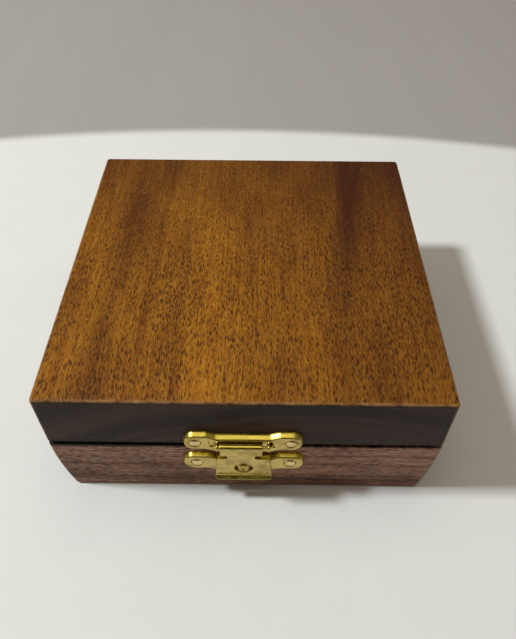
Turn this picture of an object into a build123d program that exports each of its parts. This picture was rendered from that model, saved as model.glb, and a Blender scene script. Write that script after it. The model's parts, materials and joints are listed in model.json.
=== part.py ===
"""A small wooden instrument case: two routed hardwood blocks, a pair of brass hinges and a hasp latch.

Millimetres. +Z is up, the latch is on the -Y side, and the origin is the centre of the underside.
"""

import os

from build123d import *

# Case blocks
case_width = 82.0
case_depth = 83.0
base_height = 17.1
lid_height = 14.6
rim_gap = 0.9
wall = 8.0
base_floor = 4.5
lid_top = 7.0
hollow_corner = 6.0
side_curve_inset = 2.2
upright_round = 0.9
rim_round = 0.3
lid_top_round = 0.8
bottom_round = 0.8

# Linings
strip_thickness = 1.2
pad_thickness = 1.5
glue_gap = 0.1
lip_gap = 0.1
pad_round = 0.4

# Nails
nail_radius = 0.6
nail_length = 5.9
nail_point = 1.2
nail_head_radius = 1.05
nail_head_height = 0.55
nail_clearance = 0.03
nail_hole_depth = 5.4

# Latch plates, measured down from the top of the lid and out from the front face
latch_x = -0.35
plate_sheet = 0.4
lobe_height = 5.4
middle_width = 11.0
middle_notch = 0.9
middle_drop = 0.8
shoulder_width = 15.0
lobe_round = 2.6
shoulder_round = 1.5
flange_slope = 20.0
plate_edge_round = 0.3
plate_seat = 0.05
plate_nail_spread = 19.6
lid_plate_width = 24.9
lid_plate_depth = 1.45
lid_plate_drop = 12.3
base_plate_width = 26.0
base_plate_depth = 1.4
base_plate_drop = 20.1
dimple_depth = 0.5
dimple_floor_radius = 1.15
dimple_flare = 25.0

# Latch hinge
latch_axis_drop = 12.1
knuckle_radius = 0.8
knuckle_to_plate = 0.1
latch_pin_radius = 0.3
latch_pin_proud = 0.25
pin_clearance = 0.05
ear_radius = 0.9
ear_spread = 10.0
ear_root_drop = 0.3
ear_root_height = 2.1
ear_opening = 1.6

# Hasp
hasp_sheet = 0.45
tab_width = 8.8
tab_shift = -0.45
neck_width = 5.8
slot_drop = 16.3
slot_height = 1.1
body_top_width = 10.8
body_bottom_width = 12.4
knuckle_seam = 0.2
bend_drop = 23.9
bend_radius = 0.55
lip_angle = 60.0
lip_length = 0.8
lip_corner = 0.7
stud_drop = 21.2
stud_radius = 1.45
stud_clearance = 0.5
stud_height = 0.8
stud_round = 0.35

# Back hinges
hinge_inset = 18.0
leaf_width = 16.0
leaf_height = 7.2
leaf_sheet = 0.55
leaf_corner = 1.0
leaf_seat = 0.1
leaf_nail_spread = 9.6
leaf_nail_height = 4.5
hinge_knuckle_radius = 1.25
hinge_pin_radius = 0.6
hinge_pin_proud = 0.3
knuckle_count = 5
knuckle_gap = 0.15
knuckle_relief = 0.2
pin_end_round = 0.2

# Heights and axes that follow from the sizes
lid_bottom = base_height + rim_gap
case_height = lid_bottom + lid_height
base_hollow = base_height - base_floor
lid_hollow = lid_height - lid_top
hollow_width = case_width - 2 * wall
hollow_depth = case_depth - 2 * wall
latch_axis_y = -case_depth / 2 - lid_plate_depth - knuckle_to_plate - knuckle_radius
latch_axis_z = case_height - latch_axis_drop
hinge_axis_y = case_depth / 2 + leaf_seat + hinge_knuckle_radius
hinge_axis_z = base_height + rim_gap / 2
hinge_places = {"left": hinge_inset - case_width / 2, "right": case_width / 2 - hinge_inset}


def front_plane(drop):
    """Plane on the front face, looking out, centred on the latch below the top of the lid."""
    return Plane((latch_x, -case_depth / 2, case_height - drop), (1, 0, 0), (0, -1, 0))


def back_plane(hinge_x, height):
    """Plane on the back face, looking out, centred on a hinge at a height above its axis."""
    return Plane((hinge_x, case_depth / 2, hinge_axis_z + height), (-1, 0, 0), (0, 1, 0))


lid_plate_plane = front_plane(lid_plate_drop)
base_plate_plane = front_plane(base_plate_drop)
stud_plane = front_plane(stud_drop)
hasp_plane = front_plane(latch_axis_drop)


def keep(part, node):
    """Name a finished piece and write it out."""
    part.label = node
    export_step(part, f"parts/{node}.step")


def cut_nail_holes(plane, spread, depth):
    """Cut a level pair of nail holes into the piece being made."""
    with BuildSketch(plane) as holes:
        with GridLocations(spread, 1, 2, 1):
            Circle(nail_radius + nail_clearance)
    extrude(holes.sketch, amount=depth, both=True, mode=Mode.SUBTRACT)


def cut_hollow(height, depth):
    """Rout the hollow into the block being made, from its rim."""
    with BuildSketch(Plane.XY.offset(height)) as mouth:
        RectangleRounded(hollow_width, hollow_depth, hollow_corner)
    extrude(mouth.sketch, amount=depth, mode=Mode.SUBTRACT)


def cut_hinge_nail_holes(side):
    """Cut the nail holes of both back hinges: side is 1 above the hinge axis and -1 below it."""
    for hinge_x in hinge_places.values():
        cut_nail_holes(back_plane(hinge_x, side * leaf_nail_height), leaf_nail_spread, nail_hole_depth)


os.makedirs("parts", exist_ok=True)

# Base block: its left and right sides curve in from the rim to the underside
with BuildPart() as base_block:
    with BuildSketch(Plane.XZ):
        with BuildLine():
            rim = Line((0, base_height), (case_width / 2, base_height))
            side = TangentArc(rim @ 1, (case_width / 2 - side_curve_inset, 0), tangent=(0, -1))
            Line(side @ 1, (0, 0))
            mirror(about=Plane.YZ)
        make_face()
    extrude(amount=case_depth / 2, both=True)
    fillet(base_block.edges().filter_by(GeomType.CIRCLE), upright_round)
    fillet(base_block.faces().sort_by(Axis.Z)[0].edges(), bottom_round)
    fillet(base_block.faces().sort_by(Axis.Z)[-1].edges(), rim_round)
    cut_hollow(base_height, -base_hollow)
    cut_nail_holes(base_plate_plane, plate_nail_spread, nail_hole_depth)
    cut_hinge_nail_holes(-1)
keep(base_block.part, "base_block")

# Lid block: straight sides and a shallower hollow
with BuildPart() as lid_block:
    with BuildSketch(Plane.XY.offset(lid_bottom)):
        RectangleRounded(case_width, case_depth, upright_round)
    extrude(amount=lid_height)
    fillet(lid_block.faces().sort_by(Axis.Z)[-1].edges(), lid_top_round)
    fillet(lid_block.faces().sort_by(Axis.Z)[0].edges(), rim_round)
    cut_hollow(lid_bottom, lid_hollow)
    cut_nail_holes(lid_plate_plane, plate_nail_spread, nail_hole_depth)
    cut_hinge_nail_holes(1)
keep(lid_block.part, "lid_block")


def lining_strip(bottom, height):
    """Cloth-covered strip that stands round the walls of a hollow."""
    outer = glue_gap
    inner = glue_gap + strip_thickness
    with BuildPart() as strip:
        with BuildSketch(Plane.XY.offset(bottom)):
            RectangleRounded(hollow_width - 2 * outer, hollow_depth - 2 * outer, hollow_corner - outer)
            RectangleRounded(
                hollow_width - 2 * inner,
                hollow_depth - 2 * inner,
                hollow_corner - inner,
                mode=Mode.SUBTRACT,
            )
        extrude(amount=height)
    return strip.part


def lining_pad(bottom, open_face):
    """Pad that covers the end of a hollow inside the strip: open_face is 0 for down and -1 for up."""
    inset = 2 * glue_gap + strip_thickness
    with BuildPart() as pad:
        with BuildSketch(Plane.XY.offset(bottom)):
            RectangleRounded(hollow_width - 2 * inset, hollow_depth - 2 * inset, hollow_corner - inset)
        extrude(amount=pad_thickness)
        fillet(pad.faces().sort_by(Axis.Z)[open_face].edges(), pad_round)
    return pad.part


# Linings: the base strip stands proud of its rim, and the lid's strip comes down on it
base_lining_bottom = base_floor + glue_gap
lid_pad_bottom = lid_bottom + lid_hollow - glue_gap - pad_thickness
keep(lining_strip(base_lining_bottom, lid_bottom - lip_gap - base_lining_bottom), "base_wall_lining")
keep(lining_pad(base_lining_bottom, -1), "base_floor_pad")
keep(lining_strip(lid_bottom, lid_hollow - glue_gap), "lid_wall_lining")
keep(lining_pad(lid_pad_bottom, 0), "lid_pad")

# One domed nail: it points down, and the underside of its head is at zero
with BuildPart() as nail:
    dome_radius = (nail_head_radius**2 + nail_head_height**2) / (2 * nail_head_height)
    with BuildSketch(Plane.XZ):
        with BuildLine():
            shank = Polyline(
                (0, nail_head_height),
                (0, -nail_length),
                (nail_radius, nail_point - nail_length),
                (nail_radius, 0),
                (nail_head_radius, 0),
            )
            RadiusArc(shank @ 1, shank @ 0, -dome_radius)
        make_face()
    revolve(axis=Axis.Z)


def nail_pair(plane, spread):
    """Two nails driven in square to a plane, with their heads on it."""
    with BuildPart(plane) as pair:
        with GridLocations(spread, 1, 2, 1):
            add(nail.part)
    return pair.part


def draw_plate_outline(width):
    """Draw a latch plate: a round lobe at each end, and a middle that sits a little lower."""
    lobe = lobe_height / 2
    with BuildLine() as outline:
        Polyline(
            (0, lobe - middle_notch),
            (middle_width / 2, lobe - middle_notch),
            (shoulder_width / 2, lobe),
            (width / 2, lobe),
            (width / 2, -lobe),
            (shoulder_width / 2, -lobe),
            (middle_width / 2, -lobe - middle_drop),
            (0, -lobe - middle_drop),
        )
        mirror(about=Plane.YZ)
    make_face(outline.edges())
    outer_corners = vertices().group_by(Axis.X)
    fillet(outer_corners[0] + outer_corners[-1], lobe_round)
    shoulders = vertices().filter_by(lambda v: abs(v.X) < shoulder_width / 2 + shoulder_round / 2)
    fillet(shoulders, shoulder_round)


def form_dished_plate(plane, depth, width):
    """Form a plate whose face stands off the wood on a sloping flange, with dimples that seat the nails."""
    draw_depth = depth - plate_seat
    dimple_floor = depth - dimple_depth
    with BuildSketch(plane.offset(plate_seat)) as outside:
        draw_plate_outline(width)
    extrude(outside.sketch, amount=draw_depth, taper=flange_slope)
    fillet(faces().sort_by(Axis.Y)[0].edges(), plate_edge_round)
    with BuildSketch(plane.offset(plate_seat)) as inside:
        draw_plate_outline(width)
        offset(amount=-plate_sheet, mode=Mode.REPLACE)
    extrude(inside.sketch, amount=draw_depth - plate_sheet, taper=flange_slope, mode=Mode.SUBTRACT)
    with BuildSketch(plane.offset(dimple_floor - plate_sheet)) as cups:
        with GridLocations(plate_nail_spread, 1, 2, 1):
            Circle(dimple_floor_radius + plate_sheet)
    extrude(cups.sketch, amount=dimple_depth + plate_sheet / 2, taper=-dimple_flare)
    with BuildSketch(plane.offset(dimple_floor)) as dimples:
        with GridLocations(plate_nail_spread, 1, 2, 1):
            Circle(dimple_floor_radius)
    extrude(dimples.sketch, amount=dimple_depth, taper=-dimple_flare, mode=Mode.SUBTRACT)
    cut_nail_holes(plane, plate_nail_spread, depth)


# Lid plate: an ear folded out of the face at each end of the knuckle leaves an opening beside it
with BuildPart() as latch_lid_plate:
    form_dished_plate(lid_plate_plane, lid_plate_depth, lid_plate_width)
    face_y = -case_depth / 2 - lid_plate_depth + plate_sheet / 2
    ear_root_z = latch_axis_z - ear_root_drop
    for end in (-1, 1):
        with BuildSketch(Plane.YZ.offset(latch_x + end * ear_spread / 2)):
            with Locations((latch_axis_y, latch_axis_z)):
                Circle(ear_radius)
            with Locations((face_y, ear_root_z)):
                Rectangle(plate_sheet / 2, ear_root_height)
            make_hull()
        extrude(amount=end * plate_sheet)
    with BuildSketch(hasp_plane.offset(plate_seat)):
        with Locations((0, -ear_root_drop)):
            with GridLocations(ear_spread + 2 * plate_sheet + ear_opening, 1, 2, 1):
                Rectangle(ear_opening, ear_root_height)
    extrude(amount=lid_plate_depth, mode=Mode.SUBTRACT)
    with BuildSketch(Plane.YZ.offset(latch_x)):
        with Locations((latch_axis_y, latch_axis_z)):
            Circle(latch_pin_radius + pin_clearance)
    extrude(amount=ear_spread, both=True, mode=Mode.SUBTRACT)
keep(latch_lid_plate.part, "latch_lid_plate")
keep(nail_pair(lid_plate_plane.offset(lid_plate_depth - dimple_depth), plate_nail_spread), "latch_lid_nails")

# Base plate: the same stamping, with the stud that the hasp closes over
with BuildPart() as latch_base_plate:
    form_dished_plate(base_plate_plane, base_plate_depth, base_plate_width)
    with BuildSketch(stud_plane.offset(base_plate_depth - plate_sheet / 2)):
        Circle(stud_radius)
    extrude(amount=stud_height + plate_sheet / 2)
    fillet(faces().sort_by(Axis.Y)[0].edges(), stud_round)
keep(latch_base_plate.part, "latch_base_plate")
keep(nail_pair(base_plate_plane.offset(base_plate_depth - dimple_depth), plate_nail_spread), "latch_base_nails")

# Hasp: one strip, rolled round the pin at the top and bent out into a finger lip at the bottom
with BuildPart() as latch_hasp:
    strip_y = latch_axis_y + knuckle_radius - hasp_sheet / 2
    hasp_reach = bend_radius + lip_length + 2 * knuckle_radius + lid_plate_depth
    with BuildSketch(Plane.YZ.offset(latch_x)):
        with BuildLine():
            flat = Line((strip_y, latch_axis_z - knuckle_seam), (strip_y, case_height - bend_drop))
            bend = JernArc(flat @ 1, flat % 1, bend_radius, -lip_angle)
            Line(bend @ 1, (bend @ 1) + (bend % 1) * lip_length)
        trace(line_width=hasp_sheet)
    extrude(amount=body_bottom_width, both=True)
    slot_top = latch_axis_drop - slot_drop
    slot_bottom = slot_top - slot_height
    lip_end = latch_axis_drop - bend_drop - bend_radius - lip_length
    with BuildSketch(hasp_plane):
        with Locations((tab_shift, slot_top / 2)):
            Rectangle(tab_width, -slot_top)
        with Locations((tab_shift, slot_top - slot_height / 2)):
            Rectangle(neck_width, slot_height)
        with BuildLine():
            Polyline(
                (-body_top_width / 2, slot_bottom),
                (body_top_width / 2, slot_bottom),
                (body_bottom_width / 2, lip_end),
                (-body_bottom_width / 2, lip_end),
                close=True,
            )
        make_face()
    extrude(amount=hasp_reach, mode=Mode.INTERSECT)
    lip_corners = latch_hasp.edges().filter_by(lambda e: e.length < 1.05 * hasp_sheet)
    fillet(lip_corners.sort_by(Axis.Y)[:2], lip_corner)
    with BuildSketch(Plane.YZ.offset(latch_x + tab_shift)):
        with Locations((latch_axis_y, latch_axis_z)):
            Circle(knuckle_radius)
    extrude(amount=tab_width / 2, both=True)
    with BuildSketch(Plane.YZ.offset(latch_x + tab_shift)):
        with Locations((latch_axis_y, latch_axis_z)):
            Circle(latch_pin_radius + pin_clearance)
    extrude(amount=tab_width / 2, both=True, mode=Mode.SUBTRACT)
    with BuildSketch(stud_plane):
        Circle(stud_radius + stud_clearance)
    extrude(amount=hasp_reach, mode=Mode.SUBTRACT)
keep(latch_hasp.part, "latch_hasp")


def pin(centre_x, axis_y, axis_z, radius, length):
    """Plain pin along X with rounded ends."""
    with BuildPart() as shaft:
        with BuildSketch(Plane.YZ.offset(centre_x)):
            with Locations((axis_y, axis_z)):
                Circle(radius)
        extrude(amount=length / 2, both=True)
        fillet(shaft.faces().filter_by(Axis.X).edges(), pin_end_round)
    return shaft.part


latch_pin_length = ear_spread + 2 * (plate_sheet + latch_pin_proud)
keep(pin(latch_x, latch_axis_y, latch_axis_z, latch_pin_radius, latch_pin_length), "latch_pin")


def hinge_leaf(hinge_x, side):
    """Leaf of a back hinge, rolled into every other knuckle: side is 1 for the lid's and -1 for the base's."""
    pitch = leaf_width / knuckle_count
    knuckle_length = pitch - knuckle_gap
    first = (1 + side) // 2
    knuckle_places = [(i + 0.5) * pitch - leaf_width / 2 for i in range(first, knuckle_count, 2)]
    root = hinge_knuckle_radius + knuckle_relief
    with BuildPart() as leaf:
        with BuildSketch(back_plane(hinge_x, 0).offset(leaf_seat)):
            with Locations((0, side * (root + leaf_height) / 2)):
                Rectangle(leaf_width, leaf_height - root)
            fillet(vertices().sort_by(Axis.Y)[:: -side][:2], leaf_corner)
            with Locations(*[(x, side * (root + knuckle_seam) / 2) for x in knuckle_places]):
                Rectangle(knuckle_length, root - knuckle_seam)
        extrude(amount=leaf_sheet)
        for x in knuckle_places:
            with BuildSketch(Plane.YZ.offset(hinge_x + x)):
                with Locations((hinge_axis_y, hinge_axis_z)):
                    Circle(hinge_knuckle_radius)
            extrude(amount=knuckle_length / 2, both=True)
        with BuildSketch(Plane.YZ.offset(hinge_x)):
            with Locations((hinge_axis_y, hinge_axis_z)):
                Circle(hinge_pin_radius + pin_clearance)
        extrude(amount=leaf_width, both=True, mode=Mode.SUBTRACT)
        cut_nail_holes(back_plane(hinge_x, side * leaf_nail_height), leaf_nail_spread, leaf_seat + leaf_sheet)
    return leaf.part


hinge_pin_length = leaf_width + 2 * hinge_pin_proud
for place, hinge_x in hinge_places.items():
    for name, side in (("base", -1), ("lid", 1)):
        nail_plane = back_plane(hinge_x, side * leaf_nail_height).offset(leaf_seat + leaf_sheet)
        keep(hinge_leaf(hinge_x, side), f"hinge_{place}_{name}_leaf")
        keep(nail_pair(nail_plane, leaf_nail_spread), f"hinge_{place}_{name}_nails")
    keep(pin(hinge_x, hinge_axis_y, hinge_axis_z, hinge_pin_radius, hinge_pin_length), f"hinge_{place}_pin")
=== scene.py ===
# %% [markdown]
# # A small wooden instrument case
#
# The object is a palm-sized case: two routed blocks of mahogany, a stamped brass hasp latch on the
# front, two brass hinges behind and velvet inside. Its hard parts come ready made, at their real
# size, as a fixed frame. This lesson gives them their finishes and adds what is soft or worn.
#
# One frame serves everything: metres, Z up, the latch towards -Y, the origin under the case. A
# piece that is made here is therefore never moved afterwards: its place is in its mesh.

import json
import math

import bmesh
import bpy
from mathutils import Matrix, Vector, noise

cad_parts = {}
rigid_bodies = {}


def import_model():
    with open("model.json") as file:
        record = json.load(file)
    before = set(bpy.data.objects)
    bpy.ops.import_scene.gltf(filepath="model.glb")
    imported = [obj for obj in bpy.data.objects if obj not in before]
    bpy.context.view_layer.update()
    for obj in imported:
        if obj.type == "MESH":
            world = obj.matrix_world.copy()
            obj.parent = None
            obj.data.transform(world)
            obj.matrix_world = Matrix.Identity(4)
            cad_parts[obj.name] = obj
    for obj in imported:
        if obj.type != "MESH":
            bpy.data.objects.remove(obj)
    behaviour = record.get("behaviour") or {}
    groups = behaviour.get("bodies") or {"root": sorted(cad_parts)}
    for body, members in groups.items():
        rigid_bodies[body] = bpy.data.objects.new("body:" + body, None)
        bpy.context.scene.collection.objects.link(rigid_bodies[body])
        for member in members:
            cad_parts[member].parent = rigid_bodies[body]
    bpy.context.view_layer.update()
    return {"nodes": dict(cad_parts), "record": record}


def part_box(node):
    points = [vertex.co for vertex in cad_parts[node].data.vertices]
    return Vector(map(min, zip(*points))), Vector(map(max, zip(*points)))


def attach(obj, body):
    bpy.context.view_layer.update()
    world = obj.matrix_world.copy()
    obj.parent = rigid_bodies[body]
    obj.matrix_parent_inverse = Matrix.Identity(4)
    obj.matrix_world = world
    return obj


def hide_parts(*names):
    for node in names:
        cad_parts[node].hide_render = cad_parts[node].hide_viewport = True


for leftover in list(bpy.data.objects):
    bpy.data.objects.remove(leftover)

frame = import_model()
nodes = frame["nodes"]
MM = 0.001
print("nodes in the frame:", len(nodes))

# %% [markdown]
# ## The camera
#
# The case was seen from above and in front, close to a short lens, so the sides lean in strongly.
# A camera could be moved about until the corners look right, but here it was worked out from the
# eight corners of the case: a place, three angles and one focal length. The lens is given in
# pixels of the picture, and turned into millimetres for the usual 36 mm sensor.

# %% Camera
picture_height = 639
focal_length_px = 593.01
camera_place_mm = Vector((2.845, -105.308, 125.522))
pitch_down, turn_left, roll = (math.radians(a) for a in (47.446, 0.32, 0.38))

camera_data = bpy.data.cameras.new("view_camera")
camera_data.sensor_width = 36
camera_data.lens = focal_length_px / picture_height * camera_data.sensor_width
camera_data.clip_start = 0.005
camera = bpy.data.objects.new("view_camera", camera_data)
camera.matrix_world = (
    Matrix.Translation(camera_place_mm * MM)
    @ Matrix.Rotation(turn_left, 4, "Z")
    @ Matrix.Rotation(math.pi / 2 - pitch_down, 4, "X")
    @ Matrix.Rotation(roll, 4, "Z")
)
bpy.context.scene.collection.objects.link(camera)
bpy.context.scene.camera = camera
bpy.context.scene.view_settings.view_transform = "Standard"
print("lens:", round(camera_data.lens, 2), "mm")

# %% [markdown]
# ## Three small tools
#
# Every finish below is a tree of nodes. Writing a tree takes the same three acts over and over:
# make a node, set its own properties, feed its inputs. One helper does all three. Colours are
# picked as sRGB hex codes, the way a paint or a screen names them, while the shader works in
# linear light, so a second helper turns one into the other. A third starts a material.


# %% Helpers
def add(tree, kind, inputs=None, **settings):
    """Add one node. An input is either a value or the socket of another node that feeds it."""
    node = tree.nodes.new(kind)
    for name, value in settings.items():
        setattr(node, name, value)
    for key, value in (inputs or {}).items():
        if isinstance(value, bpy.types.NodeSocket):
            tree.links.new(value, node.inputs[key])
        else:
            node.inputs[key].default_value = value
    return node


def colour(code):
    """Linear RGBA of an sRGB hex code."""
    shares = [int(code[i : i + 2], 16) / 255 for i in (1, 3, 5)]
    linear = [s / 12.92 if s <= 0.04045 else ((s + 0.055) / 1.055) ** 2.4 for s in shares]
    return (*linear, 1.0)


def new_material(name):
    """A node material with its tree and its Principled shader."""
    material = bpy.data.materials.new(name)
    material.use_nodes = True
    return material, material.node_tree, material.node_tree.nodes["Principled BSDF"]


print("mid grey in linear light:", round(colour("#808080")[0], 3))

# %% [markdown]
# ## The floor
#
# The case stands on a large sheet of white paper, and behind the paper is pale grey. One plane
# carries both. The paper's far edge bows away from the viewer, so the border between the two
# colours is a shallow parabola in X, and it is soft because it lay out of focus. Paper is matt,
# with a very faint unevenness where it has cockled, which a low bump gives. Neither colour is
# quite even: the paper is faintly stained, and the grey has soft streaks that run away from the
# viewer.

# %% Floor
floor_half = 2.5
paper_edge, paper_bow, paper_middle, edge_softness = 0.1138, 0.95, -0.008, 0.0035

floor_mesh = bpy.data.meshes.new("floor")
corners = [(x * floor_half, y * floor_half, 0) for x, y in ((-1, -1), (1, -1), (1, 1), (-1, 1))]
floor_mesh.from_pydata(corners, [], [(0, 1, 2, 3)])
floor = bpy.data.objects.new("floor", floor_mesh)
bpy.context.scene.collection.objects.link(floor)
print("floor:", 2 * floor_half, "m square")

# %% Paper and grey
floor_material, tree, shader = new_material("white_paper_on_pale_grey")
place = add(tree, "ShaderNodeTexCoord").outputs["Object"]
split = add(tree, "ShaderNodeSeparateXYZ", {0: place}).outputs
terms = {0: split["X"], 1: paper_middle}
from_middle = add(tree, "ShaderNodeMath", terms, operation="SUBTRACT").outputs[0]
terms = {0: from_middle, 1: from_middle}
squared = add(tree, "ShaderNodeMath", terms, operation="MULTIPLY").outputs[0]
terms = {0: squared, 1: paper_bow, 2: split["Y"]}
bowed = add(tree, "ShaderNodeMath", terms, operation="MULTIPLY_ADD").outputs[0]
near_edge, far_edge = paper_edge - edge_softness, paper_edge + edge_softness
span = {"Value": bowed, "From Min": near_edge, "From Max": far_edge}
beyond = add(tree, "ShaderNodeMapRange", span, interpolation_type="SMOOTHSTEP").outputs[0]
blend = {0: beyond, 6: colour("#E9E9E4"), 7: colour("#ABA6A0")}
two_tone = add(tree, "ShaderNodeMix", blend, data_type="RGBA").outputs[2]

streaks_per_metre = (55.0, 2.5, 1.0)
terms = {0: place, 1: streaks_per_metre}
streak_at = add(tree, "ShaderNodeVectorMath", terms, operation="MULTIPLY").outputs[0]
pattern = {"Vector": streak_at, "Scale": 1.0, "Detail": 3.0}
streak = add(tree, "ShaderNodeTexNoise", pattern).outputs["Fac"]
span = {"Value": streak, "From Min": 0.3, "From Max": 0.7, "To Min": 0.965, "To Max": 1.01}
streak_tone = add(tree, "ShaderNodeMapRange", span).outputs[0]
pattern = {"Vector": place, "Scale": 42.0, "Detail": 5.0, "Roughness": 0.65}
stain = add(tree, "ShaderNodeTexNoise", pattern).outputs["Fac"]
span = {"Value": stain, "From Min": 0.3, "From Max": 0.7, "To Min": 0.975, "To Max": 1.01}
stain_tone = add(tree, "ShaderNodeMapRange", span).outputs[0]
tone = add(tree, "ShaderNodeMix", {0: beyond, 2: stain_tone, 3: streak_tone}).outputs[0]
terms = {0: two_tone, "Scale": tone}
uneven = add(tree, "ShaderNodeVectorMath", terms, operation="SCALE").outputs[0]

pattern = {"Vector": place, "Scale": 14.0, "Detail": 2.0}
cockle = add(tree, "ShaderNodeTexNoise", pattern).outputs["Fac"]
cockle_bump = add(tree, "ShaderNodeBump", {"Height": cockle, "Strength": 0.3, "Distance": 1.5 * MM})
tree.links.new(uneven, shader.inputs["Base Color"])
tree.links.new(cockle_bump.outputs[0], shader.inputs["Normal"])
shader.inputs["Roughness"].default_value = 0.85
shader.inputs["Specular IOR Level"].default_value = 0.2
floor_mesh.materials.append(floor_material)
print("floor nodes:", len(tree.nodes))

# %% [markdown]
# ## Lamps and surroundings
#
# The light came from the left, and the case's shadow reaches about three quarters of its height to
# the right. The lamp was small enough to leave a clear shadow, so it is a disc. The rest is the
# room: brightest overhead and behind, dimmer on the side of whoever holds the camera. The world
# gives the room as smooth ramps of direction, which matters most to the brass, since polished
# metal shows little but what stands around it.

# %% Lamp
lamp_direction = Vector((-0.606, -0.015, 0.795)).normalized()
lamp_distance, lamp_size, lamp_watts = 1.1, 0.13, 9.2

lamp_data = bpy.data.lights.new("window_lamp", "AREA")
lamp_data.shape = "DISK"
lamp_data.size = lamp_size
lamp_data.energy = lamp_watts
lamp_data.color = (0.9, 0.955, 0.99)
lamp = bpy.data.objects.new("window_lamp", lamp_data)
lamp.location = lamp_direction * lamp_distance
lamp.rotation_euler = lamp_direction.to_track_quat("Z", "Y").to_euler()
bpy.context.scene.collection.objects.link(lamp)
print("lamp:", lamp_watts, "W at", lamp_distance, "m")

# %% World
viewer_side = Vector((0.02, -0.72, 0.69)).normalized()
overhead = Vector((0.0, 0.1, 1.0)).normalized()
room_low, room_high, ceiling_patch, dimmest = 0.165, 0.27, 0.95, 0.08

world = bpy.data.worlds.new("pale_room")
bpy.context.scene.world = world
world.use_nodes = True
tree = world.node_tree
background = tree.nodes["Background"]
toward = add(tree, "ShaderNodeTexCoord").outputs["Generated"]
split = add(tree, "ShaderNodeSeparateXYZ", {0: toward}).outputs
span = {"Value": split["Z"], "From Max": 0.9, "To Min": room_low, "To Max": room_high}
height = add(tree, "ShaderNodeMapRange", span).outputs[0]
span = {"Value": split["Y"], "From Min": -0.75, "From Max": 0.5, "To Min": 0.6, "To Max": 1.1}
behind = add(tree, "ShaderNodeMapRange", span).outputs[0]
room = add(tree, "ShaderNodeMath", {0: height, 1: behind}, operation="MULTIPLY").outputs[0]
terms = {0: toward, 1: viewer_side}
nearness = add(tree, "ShaderNodeVectorMath", terms, operation="DOT_PRODUCT").outputs["Value"]
span = {"Value": nearness, "From Min": 0.87, "From Max": 0.97, "To Min": 1.0, "To Max": dimmest}
viewer = add(tree, "ShaderNodeMapRange", span, interpolation_type="SMOOTHSTEP").outputs[0]
terms = {0: toward, 1: overhead}
above = add(tree, "ShaderNodeVectorMath", terms, operation="DOT_PRODUCT").outputs["Value"]
span = {"Value": above, "From Min": 0.86, "From Max": 0.96, "To Max": ceiling_patch}
ceiling = add(tree, "ShaderNodeMapRange", span, interpolation_type="SMOOTHSTEP").outputs[0]
lighter = add(tree, "ShaderNodeMath", {0: room, 1: ceiling}, operation="ADD").outputs[0]
lit = add(tree, "ShaderNodeMath", {0: lighter, 1: viewer}, operation="MULTIPLY").outputs[0]
tree.links.new(lit, background.inputs["Strength"])
background.inputs["Color"].default_value = colour("#FFF2E3")
print("world nodes:", len(tree.nodes))

# %% [markdown]
# ## Mahogany
#
# Both blocks are oiled mahogany. Up close the wood is a bundle of things at different scales:
# growth layers several millimetres apart, a slow ribbon figure, fibres finer than a hair, and
# open pores that show as dark dashes 1 to 1.5 mm long. A picture of wood could be laid on each
# face, but it would not meet at the edges. Here the wood is a solid: every pattern is worked out in
# all three directions inside the block, stretched along the grain, and each face simply cuts
# through it. So the lid shows dashes on top, and rings on the ends where the same pores are cut
# across. Each layer of the wood is a short function of its own, and the grain runs along Y in all.


# %% Grain, layers and heartwood
layers_per_mm, lines_per_mm = 0.16, 0.75


def per_mm(width_mm, length_mm):
    """What to multiply a place by, for a pattern this wide, and this long along the grain."""
    return (1 / width_mm, 1 / length_mm, 1 / width_mm)


def growth_layers(tree, place, pith_mm, line_share):
    """Shells round the pith, outside the block: how deep in tone, and the thin late wood."""
    terms = {0: place, 1: pith_mm}
    from_pith = add(tree, "ShaderNodeVectorMath", terms, operation="SUBTRACT").outputs[0]
    terms = {0: from_pith, 1: (1, 0, 1)}
    across = add(tree, "ShaderNodeVectorMath", terms, operation="MULTIPLY").outputs[0]
    radius = add(tree, "ShaderNodeVectorMath", {0: across}, operation="LENGTH").outputs["Value"]
    broad = {"W": radius, "Scale": layers_per_mm, "Detail": 4.0, "Roughness": 0.62}
    layers = add(tree, "ShaderNodeTexNoise", broad, noise_dimensions="1D").outputs["Fac"]
    span = {"Value": layers, "From Min": 0.36, "From Max": 0.66}
    layer = add(tree, "ShaderNodeMapRange", span).outputs[0]
    narrow = {"W": radius, "Scale": lines_per_mm, "Detail": 3.0}
    lines = add(tree, "ShaderNodeTexNoise", narrow, noise_dimensions="1D").outputs["Fac"]
    span = {"Value": lines, "From Min": 0.56, "From Max": 0.74, "To Max": line_share}
    late_wood = add(tree, "ShaderNodeMapRange", span).outputs[0]
    return layer, late_wood


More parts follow.
